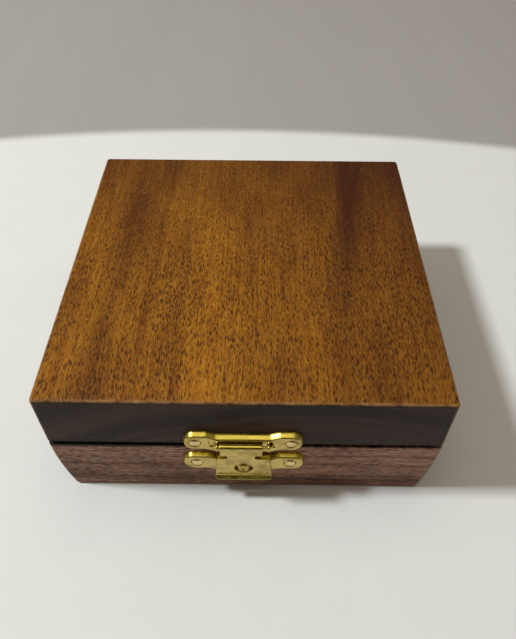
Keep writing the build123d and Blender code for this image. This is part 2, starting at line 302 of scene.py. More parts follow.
def dark_share(tree, split, heart):
    """How dark a point is: a slanting heartwood streak, and darker towards one end and one side."""
    # The places are in millimetres from the middle of the block
    terms = {0: split["Y"], 1: heart["slant"], 2: heart["line_x"]}
    line = add(tree, "ShaderNodeMath", terms, operation="MULTIPLY_ADD").outputs[0]
    aside = add(tree, "ShaderNodeMath", {0: split["X"], 1: line}, operation="SUBTRACT").outputs[0]
    away = add(tree, "ShaderNodeMath", {0: aside}, operation="ABSOLUTE").outputs[0]
    rim, deepest = heart["half_width"], heart["band"]
    span = {"Value": away, "From Min": rim, "From Max": 0.0, "To Max": deepest}
    band = add(tree, "ShaderNodeMapRange", span, interpolation_type="SMOOTHSTEP").outputs[0]
    span = {"Value": split["Y"], "From Min": -34.0, "From Max": 10.0, "To Min": 0.3, "To Max": 1.0}
    fading = add(tree, "ShaderNodeMapRange", span).outputs[0]
    span = {"Value": split["Y"], "From Min": -16.0, "From Max": 38.0, "To Max": heart["end"]}
    end = add(tree, "ShaderNodeMapRange", span).outputs[0]
    span = {"Value": split["X"], "From Min": 8.0, "From Max": 40.0, "To Max": heart["side"]}
    side = add(tree, "ShaderNodeMapRange", span).outputs[0]
    both = add(tree, "ShaderNodeMath", {0: end, 1: side}, operation="ADD").outputs[0]
    terms = {0: band, 1: fading, 2: both}
    return add(tree, "ShaderNodeMath", terms, operation="MULTIPLY_ADD", use_clamp=True).outputs[0]


print("a growth layer is about", round(1 / layers_per_mm, 1), "mm thick")


# %% Fibres and pores
pore_width_mm, pore_length_mm = 0.29, 1.5


def fibre_streaks(tree, place, fleck_mm):
    """Short flecks a quarter of a millimetre wide, over longer and fainter streaks."""
    terms = {0: place, 1: per_mm(0.22, fleck_mm)}
    fleck_at = add(tree, "ShaderNodeVectorMath", terms, operation="MULTIPLY").outputs[0]
    pattern = {"Vector": fleck_at, "Scale": 1.0, "Detail": 2.0, "Roughness": 0.6}
    fleck = add(tree, "ShaderNodeTexNoise", pattern).outputs["Fac"]
    terms = {0: place, 1: per_mm(0.5, 16)}
    thread_at = add(tree, "ShaderNodeVectorMath", terms, operation="MULTIPLY").outputs[0]
    pattern = {"Vector": thread_at, "Scale": 1.0, "Detail": 2.0}
    thread = add(tree, "ShaderNodeTexNoise", pattern).outputs["Fac"]
    fibres = add(tree, "ShaderNodeMix", {0: 0.35, 2: fleck, 3: thread}).outputs[0]
    span = {"Value": fibres, "From Min": 0.36, "From Max": 0.64}
    return add(tree, "ShaderNodeMapRange", span).outputs[0]


def pore_dashes(tree, place, ribbon, along, faint):
    """Long cells, most with a dark dash: fewer where the ribbon turns, fainter far back."""
    terms = {0: place, 1: per_mm(pore_width_mm, pore_length_mm)}
    pore_at = add(tree, "ShaderNodeVectorMath", terms, operation="MULTIPLY").outputs[0]
    pore_cells = {"Vector": pore_at, "Scale": 1.0}
    cells = add(tree, "ShaderNodeTexVoronoi", pore_cells, voronoi_dimensions="3D")
    span = {"Value": cells.outputs["Distance"], "From Min": 0.58, "From Max": 0.3}
    dash = add(tree, "ShaderNodeMapRange", span, interpolation_type="SMOOTHSTEP").outputs[0]
    luck = add(tree, "ShaderNodeSeparateColor", {0: cells.outputs["Color"]}).outputs[0]
    span = {"Value": ribbon, "From Min": 0.38, "From Max": 0.62, "To Min": 0.5, "To Max": 0.05}
    plenty = add(tree, "ShaderNodeMapRange", span).outputs[0]
    span = {"Value": luck, "From Min": plenty, "From Max": 1.0, "To Min": 0.35, "To Max": 1.0}
    kept = add(tree, "ShaderNodeMapRange", span).outputs[0]
    some = add(tree, "ShaderNodeMath", {0: luck, 1: plenty}, operation="GREATER_THAN").outputs[0]
    strength = add(tree, "ShaderNodeMath", {0: kept, 1: some}, operation="MULTIPLY").outputs[0]
    span = {"Value": along["Y"], "From Min": 36.0, "From Max": -6.0, "To Min": faint, "To Max": 1.0}
    boldness = add(tree, "ShaderNodeMapRange", span).outputs[0]
    bold = add(tree, "ShaderNodeMath", {0: strength, 1: boldness}, operation="MULTIPLY").outputs[0]
    return add(tree, "ShaderNodeMath", {0: dash, 1: bold}, operation="MULTIPLY").outputs[0]


print("a pore cell is", pore_width_mm, "mm wide and", pore_length_mm, "mm long")

# %% [markdown]
# ## Worn edges with a painted highlight, and painted shade at the joint
#
# Two things are laid over the wood. Where a face rounds into the next one the oil is rubbed thin
# and the wood shows paler, in places, and that paler colour is also a painted highlight of the
# rounded edge. And along the joint between the blocks lies painted shade: a dark line on both lips,
# widest on the left, with a ragged edge. The first follows from which way the surface points, and
# the second from how far it is from the joint. The painted shade stays on the outer faces and the
# outermost lip, so the rims inside stay clean.

# %% Wear, painted highlight and painted joint shade
joint_height = 17.55
lip_from, lip_full = 40.0, 40.9
# The soft edge of the painted shade along the joint, in mm
shade_edge_mm = 0.7


def edge_rounding(tree, axes):
    """Where the surface turns from one face to the next: handled most, and given a painted
    highlight.
    """
    terms = {0: axes["X"], 1: axes["Y"]}
    widest = add(tree, "ShaderNodeMath", terms, operation="MAXIMUM").outputs[0]
    terms = {0: widest, 1: axes["Z"]}
    squareness = add(tree, "ShaderNodeMath", terms, operation="MAXIMUM").outputs[0]
    span = {"Value": squareness, "From Min": 0.985, "From Max": 0.84}
    return add(tree, "ShaderNodeMapRange", span, interpolation_type="SMOOTHSTEP").outputs[0]


def joint_painted_shade(tree, in_mm, axes, patch_noise):
    """How much painted shade a point gets: near the joint, on an upright face or on the outermost
    lip.
    """
    height = add(tree, "ShaderNodeSeparateXYZ", {0: in_mm}).outputs
    terms = {0: height["Z"], 1: joint_height}
    from_joint = add(tree, "ShaderNodeMath", terms, operation="SUBTRACT").outputs[0]
    gap_side = add(tree, "ShaderNodeMath", {0: from_joint}, operation="ABSOLUTE").outputs[0]
    span = {"Value": height["X"], "From Min": -38.0, "From Max": 30.0, "To Min": 1.7, "To Max": 0.9}
    reach = add(tree, "ShaderNodeMapRange", span).outputs[0]
    span = {"Value": patch_noise, "From Min": 0.3, "From Max": 0.7, "To Min": -0.3, "To Max": 0.3}
    ragged = add(tree, "ShaderNodeMapRange", span).outputs[0]
    edge = add(tree, "ShaderNodeMath", {0: reach, 1: ragged}, operation="ADD").outputs[0]
    full = add(tree, "ShaderNodeMath", {0: edge, 1: shade_edge_mm}, operation="SUBTRACT").outputs[0]
    span = {"Value": gap_side, "From Min": edge, "From Max": full, "To Max": 0.92}
    joint_shade = add(tree, "ShaderNodeMapRange", span).outputs[0]
    span = {"Value": axes["Z"], "From Min": 0.995, "From Max": 0.93}
    upright = add(tree, "ShaderNodeMapRange", span).outputs[0]
    from_middle = add(tree, "ShaderNodeVectorMath", {0: in_mm}, operation="ABSOLUTE").outputs[0]
    sides = add(tree, "ShaderNodeSeparateXYZ", {0: from_middle}).outputs
    terms = {0: sides["X"], 1: sides["Y"]}
    furthest = add(tree, "ShaderNodeMath", terms, operation="MAXIMUM").outputs[0]
    span = {"Value": furthest, "From Min": lip_from, "From Max": lip_full}
    lip = add(tree, "ShaderNodeMapRange", span).outputs[0]
    outside = add(tree, "ShaderNodeMath", {0: upright, 1: lip}, operation="MAXIMUM").outputs[0]
    return add(tree, "ShaderNodeMath", {0: joint_shade, 1: outside}, operation="MULTIPLY").outputs[0]


print("joint at", joint_height, "mm")

# %% [markdown]
# ## One wood, two blocks
#
# The wood is put together from the ground up: first the pale and deep tones of the layers and the
# ribbon, then the late wood, the heartwood, the fibres and the pores. End grain drinks more oil
# than long grain and goes nearly black, so the way a face points tells how dark it is. Wear with a
# painted highlight on the rounded edges, and painted shade along the joint, go over everything.
# The same function makes both blocks. They differ in which way the grain runs, in their tones and
# in where their pith lies.


# %% The wood
def mahogany(name, grain_along_x, tones, heart, pith_mm, shift_mm, drift):
    """Oiled mahogany with its rings, figure, fibres and pores worked out inside the solid."""
    material, tree, shader = new_material(name)
    quarter_turn = (0, 0, math.pi / 2 if grain_along_x else 0)
    place = add(tree, "ShaderNodeTexCoord").outputs
    terms = {0: place["Object"], "Scale": 1 / MM}
    in_mm = add(tree, "ShaderNodeVectorMath", terms, operation="SCALE").outputs[0]
    grain_frame = {"Vector": in_mm, "Location": shift_mm, "Rotation": quarter_turn}
    turned = add(tree, "ShaderNodeMapping", grain_frame).outputs[0]
    along = add(tree, "ShaderNodeSeparateXYZ", {0: turned}).outputs
    grain_normal = {"Vector": place["Normal"], "Rotation": quarter_turn}
    facing = add(tree, "ShaderNodeMapping", grain_normal, vector_type="NORMAL").outputs[0]
    outward = add(tree, "ShaderNodeVectorMath", {0: facing}, operation="ABSOLUTE").outputs[0]
    axes = add(tree, "ShaderNodeSeparateXYZ", {0: outward}).outputs

    # The grain wanders by a millimetre or two over some 70 mm
    terms = {0: turned, 1: per_mm(24, 70)}
    sway_at = add(tree, "ShaderNodeVectorMath", terms, operation="MULTIPLY").outputs[0]
    wander = {"Vector": sway_at, "Scale": 1.0, "Detail": 1.0}
    sway = add(tree, "ShaderNodeTexNoise", wander).outputs["Color"]
    terms = {0: sway, 1: (drift, 0, drift), 2: turned}
    swayed = add(tree, "ShaderNodeVectorMath", terms, operation="MULTIPLY_ADD").outputs[0]

    layer, late_wood = growth_layers(tree, swayed, pith_mm, tones["lines"])
    terms = {0: swayed, 1: per_mm(9, 26)}
    ribbon_at = add(tree, "ShaderNodeVectorMath", terms, operation="MULTIPLY").outputs[0]
    pattern = {"Vector": ribbon_at, "Scale": 1.0, "Detail": 3.0, "Roughness": 0.5}
    ribbon = add(tree, "ShaderNodeTexNoise", pattern).outputs["Fac"]
    span = {"Value": ribbon, "From Min": 0.32, "From Max": 0.68}
    figure = add(tree, "ShaderNodeMapRange", span).outputs[0]
    streak = fibre_streaks(tree, swayed, tones["fleck_mm"])
    pore = pore_dashes(tree, swayed, ribbon, along, tones["faint"])

    deepness = add(tree, "ShaderNodeMix", {0: 0.5, 2: layer, 3: figure}).outputs[0]
    blend = {0: deepness, 6: colour(tones["pale"]), 7: colour(tones["deep"])}
    toned = add(tree, "ShaderNodeMix", blend, data_type="RGBA").outputs[2]
    blend = {0: late_wood, 6: toned, 7: colour(tones["heart"])}
    lined = add(tree, "ShaderNodeMix", blend, data_type="RGBA").outputs[2]
    share = dark_share(tree, along, heart)
    blend = {0: share, 6: lined, 7: colour(tones["heart"])}
    ground = add(tree, "ShaderNodeMix", blend, data_type="RGBA").outputs[2]
    blend = {0: streak, 6: ground, 7: colour(tones["fibre"])}
    fibred = add(tree, "ShaderNodeMix", blend, data_type="RGBA", blend_type="MULTIPLY").outputs[2]
    blend = {0: pore, 6: fibred, 7: colour(tones["pore"])}
    long_grain = add(tree, "ShaderNodeMix", blend, data_type="RGBA").outputs[2]

    end_depth = add(tree, "ShaderNodeMath", {0: layer, 1: share}, operation="MAXIMUM").outputs[0]
    blend = {0: end_depth, 6: colour(tones["end_pale"]), 7: colour(tones["end_deep"])}
    end_grain = add(tree, "ShaderNodeMix", blend, data_type="RGBA").outputs[2]
    span = {"Value": axes["Y"], "From Min": 0.55, "From Max": 0.9}
    is_end = add(tree, "ShaderNodeMapRange", span, interpolation_type="SMOOTHSTEP").outputs[0]
    blend = {0: is_end, 6: long_grain, 7: end_grain}
    wood = add(tree, "ShaderNodeMix", blend, data_type="RGBA").outputs[2]

    # Rounded edges go paler: the oil is worn thin there, and a painted highlight is laid on them
    # too
    rounding = edge_rounding(tree, axes)
    pattern = {"Vector": in_mm, "Scale": 0.45, "Detail": 4.0, "Roughness": 0.65}
    patch_noise = add(tree, "ShaderNodeTexNoise", pattern).outputs["Fac"]
    span = {"Value": patch_noise, "From Min": 0.34, "From Max": 0.66, "To Max": 0.85}
    highlit = add(tree, "ShaderNodeMapRange", span).outputs[0]
    wear_and_highlight = add(tree, "ShaderNodeMath", {0: rounding, 1: highlit}, operation="MULTIPLY").outputs[0]
    blend = {0: wear_and_highlight, 6: wood, 7: colour(tones["worn_and_highlight"])}
    worn_and_highlight = add(tree, "ShaderNodeMix", blend, data_type="RGBA").outputs[2]
    # Painted shade: the faces along the joint darken to nearly black
    joint_shade = joint_painted_shade(tree, in_mm, axes, patch_noise)
    blend = {0: joint_shade, 6: worn_and_highlight, 7: colour("#080504")}
    joint_shaded = add(tree, "ShaderNodeMix", blend, data_type="RGBA").outputs[2]

    # Oil fills the fibres and leaves a satin surface; the pores stay open and dull
    terms = {0: pore, 1: -1.0, 2: streak}
    relief = add(tree, "ShaderNodeMath", terms, operation="MULTIPLY_ADD").outputs[0]
    bump = add(tree, "ShaderNodeBump", {"Height": relief, "Strength": 0.35, "Distance": 0.03 * MM})
    satin = add(tree, "ShaderNodeMix", {0: pore, 2: 0.48, 3: 0.75}).outputs[0]
    tree.links.new(joint_shaded, shader.inputs["Base Color"])
    tree.links.new(satin, shader.inputs["Roughness"])
    tree.links.new(bump.outputs[0], shader.inputs["Normal"])
    shader.inputs["IOR"].default_value = 1.47
    shader.inputs["Specular IOR Level"].default_value = 0.17
    return material


# %% The two blocks
# The tone for rounded edges is both wear and a painted highlight
lid_tones = {
    "pale": "#B88022",
    "deep": "#805212",
    "heart": "#52290F",
    "fibre": "#BC9060",
    "pore": "#2A1405",
    "end_pale": "#402A22",
    "end_deep": "#271812",
    "worn_and_highlight": "#A97F50",
    "lines": 0.28,
    "fleck_mm": 1.1,
    "faint": 0.5,
}
base_tones = {
    "pale": "#D3A388",
    "deep": "#8C624C",
    "heart": "#462A20",
    "fibre": "#978074",
    "pore": "#2E1A12",
    "end_pale": "#3A241B",
    "end_deep": "#21140F",
    "worn_and_highlight": "#94705A",
    "lines": 0.5,
    "fleck_mm": 2.6,
    "faint": 0.6,
}
lid_heart = dict(line_x=23.2, slant=0.09, half_width=5.0, band=0.42, end=0.5, side=0.5)
base_heart = dict(line_x=30.0, slant=0.0, half_width=12.0, band=0.3, end=0.0, side=0.0)
lid_lie = dict(pith_mm=(14, 0, -52), shift_mm=(0, 0, 0), drift=4.0)
base_lie = dict(pith_mm=(-20, 0, 70), shift_mm=(11, 7, 3), drift=3.0)

lid_mahogany = mahogany(
    "oiled_mahogany_grain_front_to_back", False, lid_tones, lid_heart, **lid_lie
)
base_mahogany = mahogany(
    "oiled_mahogany_grain_side_to_side", True, base_tones, base_heart, **base_lie
)
print("mahogany nodes:", len(lid_mahogany.node_tree.nodes))

# %% [markdown]
# ## Brass
#
# The latch and hinges are stamped from thin brass sheet and tumbled bright. Sheet brass is not a
# mirror: rolling leaves fine lines one way, handling leaves hairlines every way, and air dulls it
# in clouds. The faces of the latch that look up get a brighter, yellower colour: a painted
# highlight. Metal has no colour of its own beneath the shine, so the tint goes on the reflection,
# and what tells polished brass from yellow plastic is that its roughness changes from place to
# place.


# %% Brass
def brass(name, bright, dull, highlit, smooth, rough, lines_mm):
    """Stamped brass: clouds of tarnish, rolling lines and a painted highlight on faces that look
    up.
    """
    material, tree, shader = new_material(name)
    place = add(tree, "ShaderNodeTexCoord").outputs
    terms = {0: place["Object"], "Scale": 1 / MM}
    in_mm = add(tree, "ShaderNodeVectorMath", terms, operation="SCALE").outputs[0]
    pattern = {"Vector": in_mm, "Scale": 0.38, "Detail": 4.0, "Roughness": 0.6}
    cloud = add(tree, "ShaderNodeTexNoise", pattern).outputs["Fac"]
    span = {"Value": cloud, "From Min": 0.45, "From Max": 0.7}
    tarnish = add(tree, "ShaderNodeMapRange", span).outputs[0]
    terms = {0: in_mm, 1: lines_mm}
    line_at = add(tree, "ShaderNodeVectorMath", terms, operation="DIVIDE").outputs[0]
    pattern = {"Vector": line_at, "Scale": 1.0, "Detail": 3.0}
    lines = add(tree, "ShaderNodeTexNoise", pattern).outputs["Fac"]
    blend = {0: tarnish, 6: colour(bright), 7: colour(dull)}
    tint = add(tree, "ShaderNodeMix", blend, data_type="RGBA").outputs[2]
    facing = add(tree, "ShaderNodeSeparateXYZ", {0: place["Normal"]}).outputs
    # Faces that look up get a painted highlight, brighter and yellower
    span = {"Value": facing["Z"], "From Min": 0.4, "From Max": 0.85}
    top_highlight = add(tree, "ShaderNodeMapRange", span).outputs[0]
    blend = {0: top_highlight, 6: tint, 7: colour(highlit)}
    top_highlighted = add(tree, "ShaderNodeMix", blend, data_type="RGBA").outputs[2]
    span = {"Value": cloud, "From Min": 0.35, "From Max": 0.7, "To Min": smooth, "To Max": rough}
    dullness = add(tree, "ShaderNodeMapRange", span).outputs[0]
    bump = add(tree, "ShaderNodeBump", {"Height": lines, "Strength": 0.25, "Distance": 0.02 * MM})
    tree.links.new(top_highlighted, shader.inputs["Base Color"])
    tree.links.new(dullness, shader.inputs["Roughness"])
    tree.links.new(bump.outputs[0], shader.inputs["Normal"])
    shader.inputs["Metallic"].default_value = 1.0
    return material


rolled_mm, drawn_mm, even_mm = (5.0, 0.16, 0.16), (6.0, 0.12, 0.12), (0.4, 0.4, 0.4)
# The fourth colour is the painted highlight on faces that look up; only the latch's differs from
# its bright colour
latch_brass = brass("stamped_latch_brass", "#C9B065", "#9C8648", "#E4D05B", 0.2, 0.36, rolled_mm)
hinge_brass = brass("stamped_hinge_brass", "#D9BC69", "#B08E48", "#D9BC69", 0.22, 0.38, rolled_mm)
nail_brass = brass("polished_nail_brass", "#DCC88C", "#B79F66", "#DCC88C", 0.16, 0.3, even_mm)
pin_brass = brass("drawn_wire_brass", "#D6B968", "#A98A48", "#D6B968", 0.22, 0.36, drawn_mm)
print("brass nodes:", len(latch_brass.node_tree.nodes))

# %% [markdown]
# ## Velvet
#
# The hollow is lined with short-pile velvet. Velvet is dark when looked straight into and light at
# a glancing angle, because the tips of the pile catch the light, and it shows marks where the nap
# was brushed the other way. A sheen lobe gives the first, slow patches of two greens the second.
# Real pile is a tenth of a millimetre thick, which is too fine to show, so it is drawn three times
# as coarse.

# %% Velvet
velvet, tree, shader = new_material("short_pile_green_velvet")
place = add(tree, "ShaderNodeTexCoord").outputs["Object"]
in_mm = add(tree, "ShaderNodeVectorMath", {0: place, "Scale": 1 / MM}, operation="SCALE").outputs[0]
nap_marks = {"Vector": in_mm, "Scale": 0.09, "Detail": 3.0, "Distortion": 0.6}
nap = add(tree, "ShaderNodeTexNoise", nap_marks).outputs["Fac"]
span = {"Value": nap, "From Min": 0.38, "From Max": 0.62}
brushed = add(tree, "ShaderNodeMapRange", span).outputs[0]
pattern = {"Vector": in_mm, "Scale": 3.2, "Detail": 2.0}
pile = add(tree, "ShaderNodeTexNoise", pattern).outputs["Fac"]
span = {"Value": pile, "From Min": 0.3, "From Max": 0.7}
tufts = add(tree, "ShaderNodeMapRange", span).outputs[0]
blend = {0: brushed, 6: colour("#123D28"), 7: colour("#1D5238")}
greens = add(tree, "ShaderNodeMix", blend, data_type="RGBA").outputs[2]
blend = {0: tufts, 6: colour("#0A2417"), 7: greens}
piled = add(tree, "ShaderNodeMix", blend, data_type="RGBA").outputs[2]
pile_bump = add(tree, "ShaderNodeBump", {"Height": pile, "Strength": 0.6, "Distance": 0.12 * MM})
tree.links.new(piled, shader.inputs["Base Color"])
tree.links.new(pile_bump.outputs[0], shader.inputs["Normal"])
shader.inputs["Roughness"].default_value = 0.95
shader.inputs["Specular IOR Level"].default_value = 0.15
shader.inputs["Sheen Weight"].default_value = 0.7
shader.inputs["Sheen Roughness"].default_value = 0.35
shader.inputs["Sheen Tint"].default_value = colour("#9CCBB0")
print("velvet nodes:", len(tree.nodes))

# %% [markdown]
# ## Finishes on the hard parts
#
# The wood, plates, hasp, hinges and pins already have their true shape, so they only trade their
# plain colour for a finish. The record names a slot for each node, which saves a list by hand.

# %% Finishes
finishes = {
    "lid_wood": lid_mahogany,
    "base_wood": base_mahogany,
    "velvet": velvet,
    "latch_brass": latch_brass,
    "nail_brass": nail_brass,
    "hinge_brass": hinge_brass,
    "pin_brass": pin_brass,
}
for part in frame["record"]["subparts"]:
    nodes[part["node"]].data.materials[0] = finishes[part["material_slot"]]

# %% [markdown]
# ## Stampings softened by the press
#
# The latch is punched out of brass sheet 0.4 mm thick, and a punch never leaves a sharp edge: the
# flange rolls over into the face, the rims of the holes are drawn in, and the face is a little
# uneven. Those soft rolls are what make the bright lines on the real latch. Every edge could be
# bevelled, but so many meet here that a bevel would tie itself in knots. Instead a copy of each
# hard part gets a new, even skin of small faces, which is then smoothed for a few passes: that
# rounds every edge by about a quarter of a millimetre and leaves the flats flat. The work is done
# in millimetres. In metres a face of a tenth of a millimetre would be 0.0001, which is where the
# remesher's own slider ends.


# %% Tools for pieces
def placed(name, mesh, body, replaced):
    """Link a finished mesh as a piece that rides on a body and stands for some CAD nodes."""
    piece = bpy.data.objects.new(name, mesh)
    bpy.context.scene.collection.objects.link(piece)
    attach(piece, body)
    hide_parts(*replaced)
    return piece


def baked(source):
    """The mesh that an object's modifiers make of it. The object itself is removed."""
    evaluated = source.evaluated_get(bpy.context.evaluated_depsgraph_get())
    mesh = bpy.data.meshes.new_from_object(evaluated)
    bpy.data.objects.remove(source)
    return mesh


def merged_copy(node):
    """A node's mesh in millimetres, with the corners of its loose triangles joined."""
    form = bmesh.new()
    form.from_mesh(nodes[node].data)
    form.transform(Matrix.Scale(1 / MM, 4))
    bmesh.ops.remove_doubles(form, verts=form.verts, dist=0.0005)
    return form


print("faces of the lid plate before:", len(nodes["latch_lid_plate"].data.polygons))


# %% Tools for stampings
wood_front, rim_depth, rim_bite, voxel_mm = -41.5, 0.2, 0.8, 0.1


def even_skin(name, form, voxel_mm):
    """Give a closed form a new skin of even small faces."""
    rough = bpy.data.meshes.new(name)
    form.to_mesh(rough)
    form.free()
    source = bpy.data.objects.new(name, rough)
    bpy.context.scene.collection.objects.link(source)
    skin = source.modifiers.new("even_skin", "REMESH")
    skin.mode = "VOXEL"
    skin.voxel_size = voxel_mm
    return baked(source)


def rolled_edges(mesh, passes):
    """Smooth a mesh for some passes, so that every edge becomes a small roll."""
    form = bmesh.new()
    form.from_mesh(mesh)
    every_way = {"use_axis_x": True, "use_axis_y": True, "use_axis_z": True}
    for _ in range(passes):
        bmesh.ops.smooth_vert(form, verts=form.verts, factor=0.5, **every_way)
    form.to_mesh(mesh)
    form.free()


def dent(mesh, amount, length, seed):
    """Move each point along its normal by smooth noise."""
    normals = [v.normal.copy() for v in mesh.vertices]
    offset = Vector((seed * 17.3, seed * 5.1, seed * 9.7))
    for vertex, normal in zip(mesh.vertices, normals):
        vertex.co += normal * amount * noise.noise(vertex.co / length + offset)


def bite(mesh, lowest):
    """Let the rim of a plate reach into the wood behind it, so that smoothing leaves no gap."""
    for vertex in mesh.vertices:
        if vertex.co.y > wood_front - rim_depth and vertex.co.z > lowest:
            vertex.co.y += rim_bite


print("rim pushed into the wood by", rim_bite, "mm")

# %% New skins
rim_lowest = {"lid": 18.1, "base": 0.0}
web_size, web_aside, web_stand, web_leans = (2.3, 0.36, 2.8), 0.55, 0.83, (12, -24)
pressed = {}
for body, lowest in rim_lowest.items():
    node = f"latch_{body}_plate"
    form = merged_copy(node)
    if body == "lid":
        # A web is left behind each opening, where the press folded the ear out of the sheet
        pin_low, pin_high = (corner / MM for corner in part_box("latch_pin"))
        for x, lean in zip((pin_low.x - web_aside, pin_high.x + web_aside), web_leans):
            web_place = Matrix.Translation((x, wood_front - web_stand, pin_low.z))
            web_place = web_place @ Matrix.Rotation(math.radians(lean), 4, "Z")
            web_form = web_place @ Matrix.Diagonal((*web_size, 1))
            bmesh.ops.create_cube(form, size=1, matrix=web_form)
    pressed[body] = even_skin(f"{node}_stamped", form, voxel_mm)
    bite(pressed[body], lowest)
pressed["hasp"] = even_skin("latch_hasp_stamped", merged_copy("latch_hasp"), voxel_mm)
print("new skins:", list(pressed))

# %% The stud, which narrows towards its top and was left dished by the punch that drew it
stud_middle, stud_reach, stud_taper, stud_rise = Vector((-0.35, 11.4)), 1.9, 0.3, 0.8
stud_dish_radius, stud_dish_depth = 0.9, 0.6
stud_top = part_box("latch_base_plate")[0].y / MM
for vertex in pressed["base"].vertices:
    aside = Vector((vertex.co.x, vertex.co.z)) - stud_middle
    risen = (stud_top + stud_rise - vertex.co.y) / stud_rise
    if aside.length > stud_reach or risen < 0:
        continue
    aside *= 1 - stud_taper * min(risen, 1)
    vertex.co.x, vertex.co.z = stud_middle + aside
    away = aside.length / stud_dish_radius
    if away < 1 and risen > 0.5:
        vertex.co.y += stud_dish_depth * (1 - away**2)
print("stud top at", round(stud_top, 2), "mm")

# %% Rolled edges and small dents
plate_passes, hasp_passes, dent_mm, dent_length_mm, first_seed = 12, 8, 0.035, 2.2, 5
for seed, (body, mesh) in enumerate(pressed.items(), first_seed):
    rolled_edges(mesh, hasp_passes if body == "hasp" else plate_passes)
    dent(mesh, dent_mm, dent_length_mm, seed)
    mesh.transform(Matrix.Scale(MM, 4))
    mesh.materials.clear()
    mesh.materials.append(latch_brass)
    mesh.shade_smooth()
    node = "latch_hasp" if body == "hasp" else f"latch_{body}_plate"
    placed(f"{node}_stamped", mesh, body, [node])
    print(node, "faces:", len(mesh.polygons))

# %% [markdown]
# ## Domed nails
#
# Twelve small brass nails hold the latch and the hinges. Each has a low domed head, a round shank
# and a point, and each was tapped home by hand, so its head is faintly hammered and never quite
# square to the plate. Twelve copies could be modelled one by one. Geometry Nodes make one nail
# from named sizes and put it on every point of a small cloud, whose points carry the direction
# and the size of their own nail. The seed is fixed, so the nails lean the same way each time.


# %% The nail tree and its inputs
def new_tree(name, sockets):
    """An empty Geometry Nodes tree with a geometry output and the named inputs."""
    tree = bpy.data.node_groups.new(name, "GeometryNodeTree")
    for label, kind in sockets:
        tree.interface.new_socket(name=label, in_out="INPUT", socket_type=kind)
    tree.interface.new_socket(name="Geometry", in_out="OUTPUT", socket_type="NodeSocketGeometry")
    return tree


nail_sizes = {
    "Head radius": 1.05 * MM,
    "Head height": 0.55 * MM,
    "Shank radius": 0.5 * MM,
    "Shank length": 4.6 * MM,
    "Point length": 1.2 * MM,
    "Lean": 0.06,
    "Hammering": 0.12 * MM,
}
nail_sockets = [("Seats", "NodeSocketGeometry")]
nail_sockets += [(measure, "NodeSocketFloat") for measure in nail_sizes]
nail_sockets += [("Seed", "NodeSocketInt"), ("Finish", "NodeSocketMaterial")]
nail_tree = new_tree("domed_nails", nail_sockets)
given = add(nail_tree, "NodeGroupInput").outputs
place = add(nail_tree, "GeometryNodeInputPosition").outputs[0]
print("nail inputs:", len(nail_sockets))

# %% The head: a unit ball with its lower half pressed flat, then drawn to its radius and height
ball = add(nail_tree, "GeometryNodeMeshUVSphere", {"Segments": 28, "Rings": 16, "Radius": 1.0})
axes = add(nail_tree, "ShaderNodeSeparateXYZ", {0: place}).outputs
upper = add(nail_tree, "ShaderNodeMath", {0: axes["Z"], 1: 0.0}, operation="MAXIMUM").outputs[0]
domed = add(nail_tree, "ShaderNodeMath", {0: upper, 1: 0.75}, operation="POWER").outputs[0]
flat_below = {0: axes["X"], 1: axes["Y"], 2: domed}
flattened = add(nail_tree, "ShaderNodeCombineXYZ", flat_below).outputs[0]
head_sizes = {0: given["Head radius"], 1: given["Head radius"], 2: given["Head height"]}
drawn = add(nail_tree, "ShaderNodeCombineXYZ", head_sizes).outputs[0]
terms = {0: flattened, 1: drawn}
head_place = add(nail_tree, "ShaderNodeVectorMath", terms, operation="MULTIPLY").outputs[0]
head_shape = {"Geometry": ball.outputs["Mesh"], "Position": head_place}
head = add(nail_tree, "GeometryNodeSetPosition", head_shape)
print("head made of", len(nail_tree.nodes), "nodes so far")

# %% The shank and its point: two cones that hang below the head
cone_sides, point_tip = 16, 0.04 * MM
terms = {0: given["Shank length"], 1: -1.0}
down = add(nail_tree, "ShaderNodeMath", terms, operation="MULTIPLY").outputs[0]
terms = {0: down, 1: given["Point length"]}
further_down = add(nail_tree, "ShaderNodeMath", terms, operation="SUBTRACT").outputs[0]
nail_parts = [head]
for bottom, length, drop in (
    (given["Shank radius"], given["Shank length"], down),
    (point_tip, given["Point length"], further_down),
):
    cone_sizes = {"Radius Top": given["Shank radius"], "Radius Bottom": bottom, "Depth": length}
    cone = add(nail_tree, "GeometryNodeMeshCone", {"Vertices": cone_sides, **cone_sizes})
    below = add(nail_tree, "ShaderNodeCombineXYZ", {2: drop})
    hanging = {"Geometry": cone.outputs["Mesh"], "Translation": below.outputs[0]}
    nail_parts.append(add(nail_tree, "GeometryNodeTransform", hanging))
nail = add(nail_tree, "GeometryNodeJoinGeometry")
for part in nail_parts:
    nail_tree.links.new(part.outputs["Geometry"], nail.inputs[0])
print("one nail:", len(nail_parts), "parts")

# %% One nail on each seat, leaning a little
carried = {}
for name, kind in (("outward", "FLOAT_VECTOR"), ("size", "FLOAT")):
    attribute = add(nail_tree, "GeometryNodeInputNamedAttribute", {"Name": name}, data_type=kind)
    carried[name] = attribute.outputs[0]
both_ways = {0: (-1.0, -1.0, -1.0), 1: (1.0, 1.0, 1.0), "Seed": given["Seed"]}
chance = add(nail_tree, "FunctionNodeRandomValue", both_ways, data_type="FLOAT_VECTOR")
terms = {0: chance.outputs[0], "Scale": given["Lean"]}
leaning = add(nail_tree, "ShaderNodeVectorMath", terms, operation="SCALE").outputs[0]
terms = {0: carried["outward"], 1: leaning}
aim = add(nail_tree, "ShaderNodeVectorMath", terms, operation="ADD").outputs[0]
turned = add(nail_tree, "FunctionNodeAlignRotationToVector", {"Vector": aim}, axis="Z")
on_seats = {
    "Points": given["Seats"],
    "Instance": nail.outputs[0],
    "Rotation": turned.outputs[0],
    "Scale": carried["size"],
}
nails = add(nail_tree, "GeometryNodeInstanceOnPoints", on_seats)
real_nails = add(nail_tree, "GeometryNodeRealizeInstances", {0: nails.outputs[0]})
print("seated by", nails.bl_label)

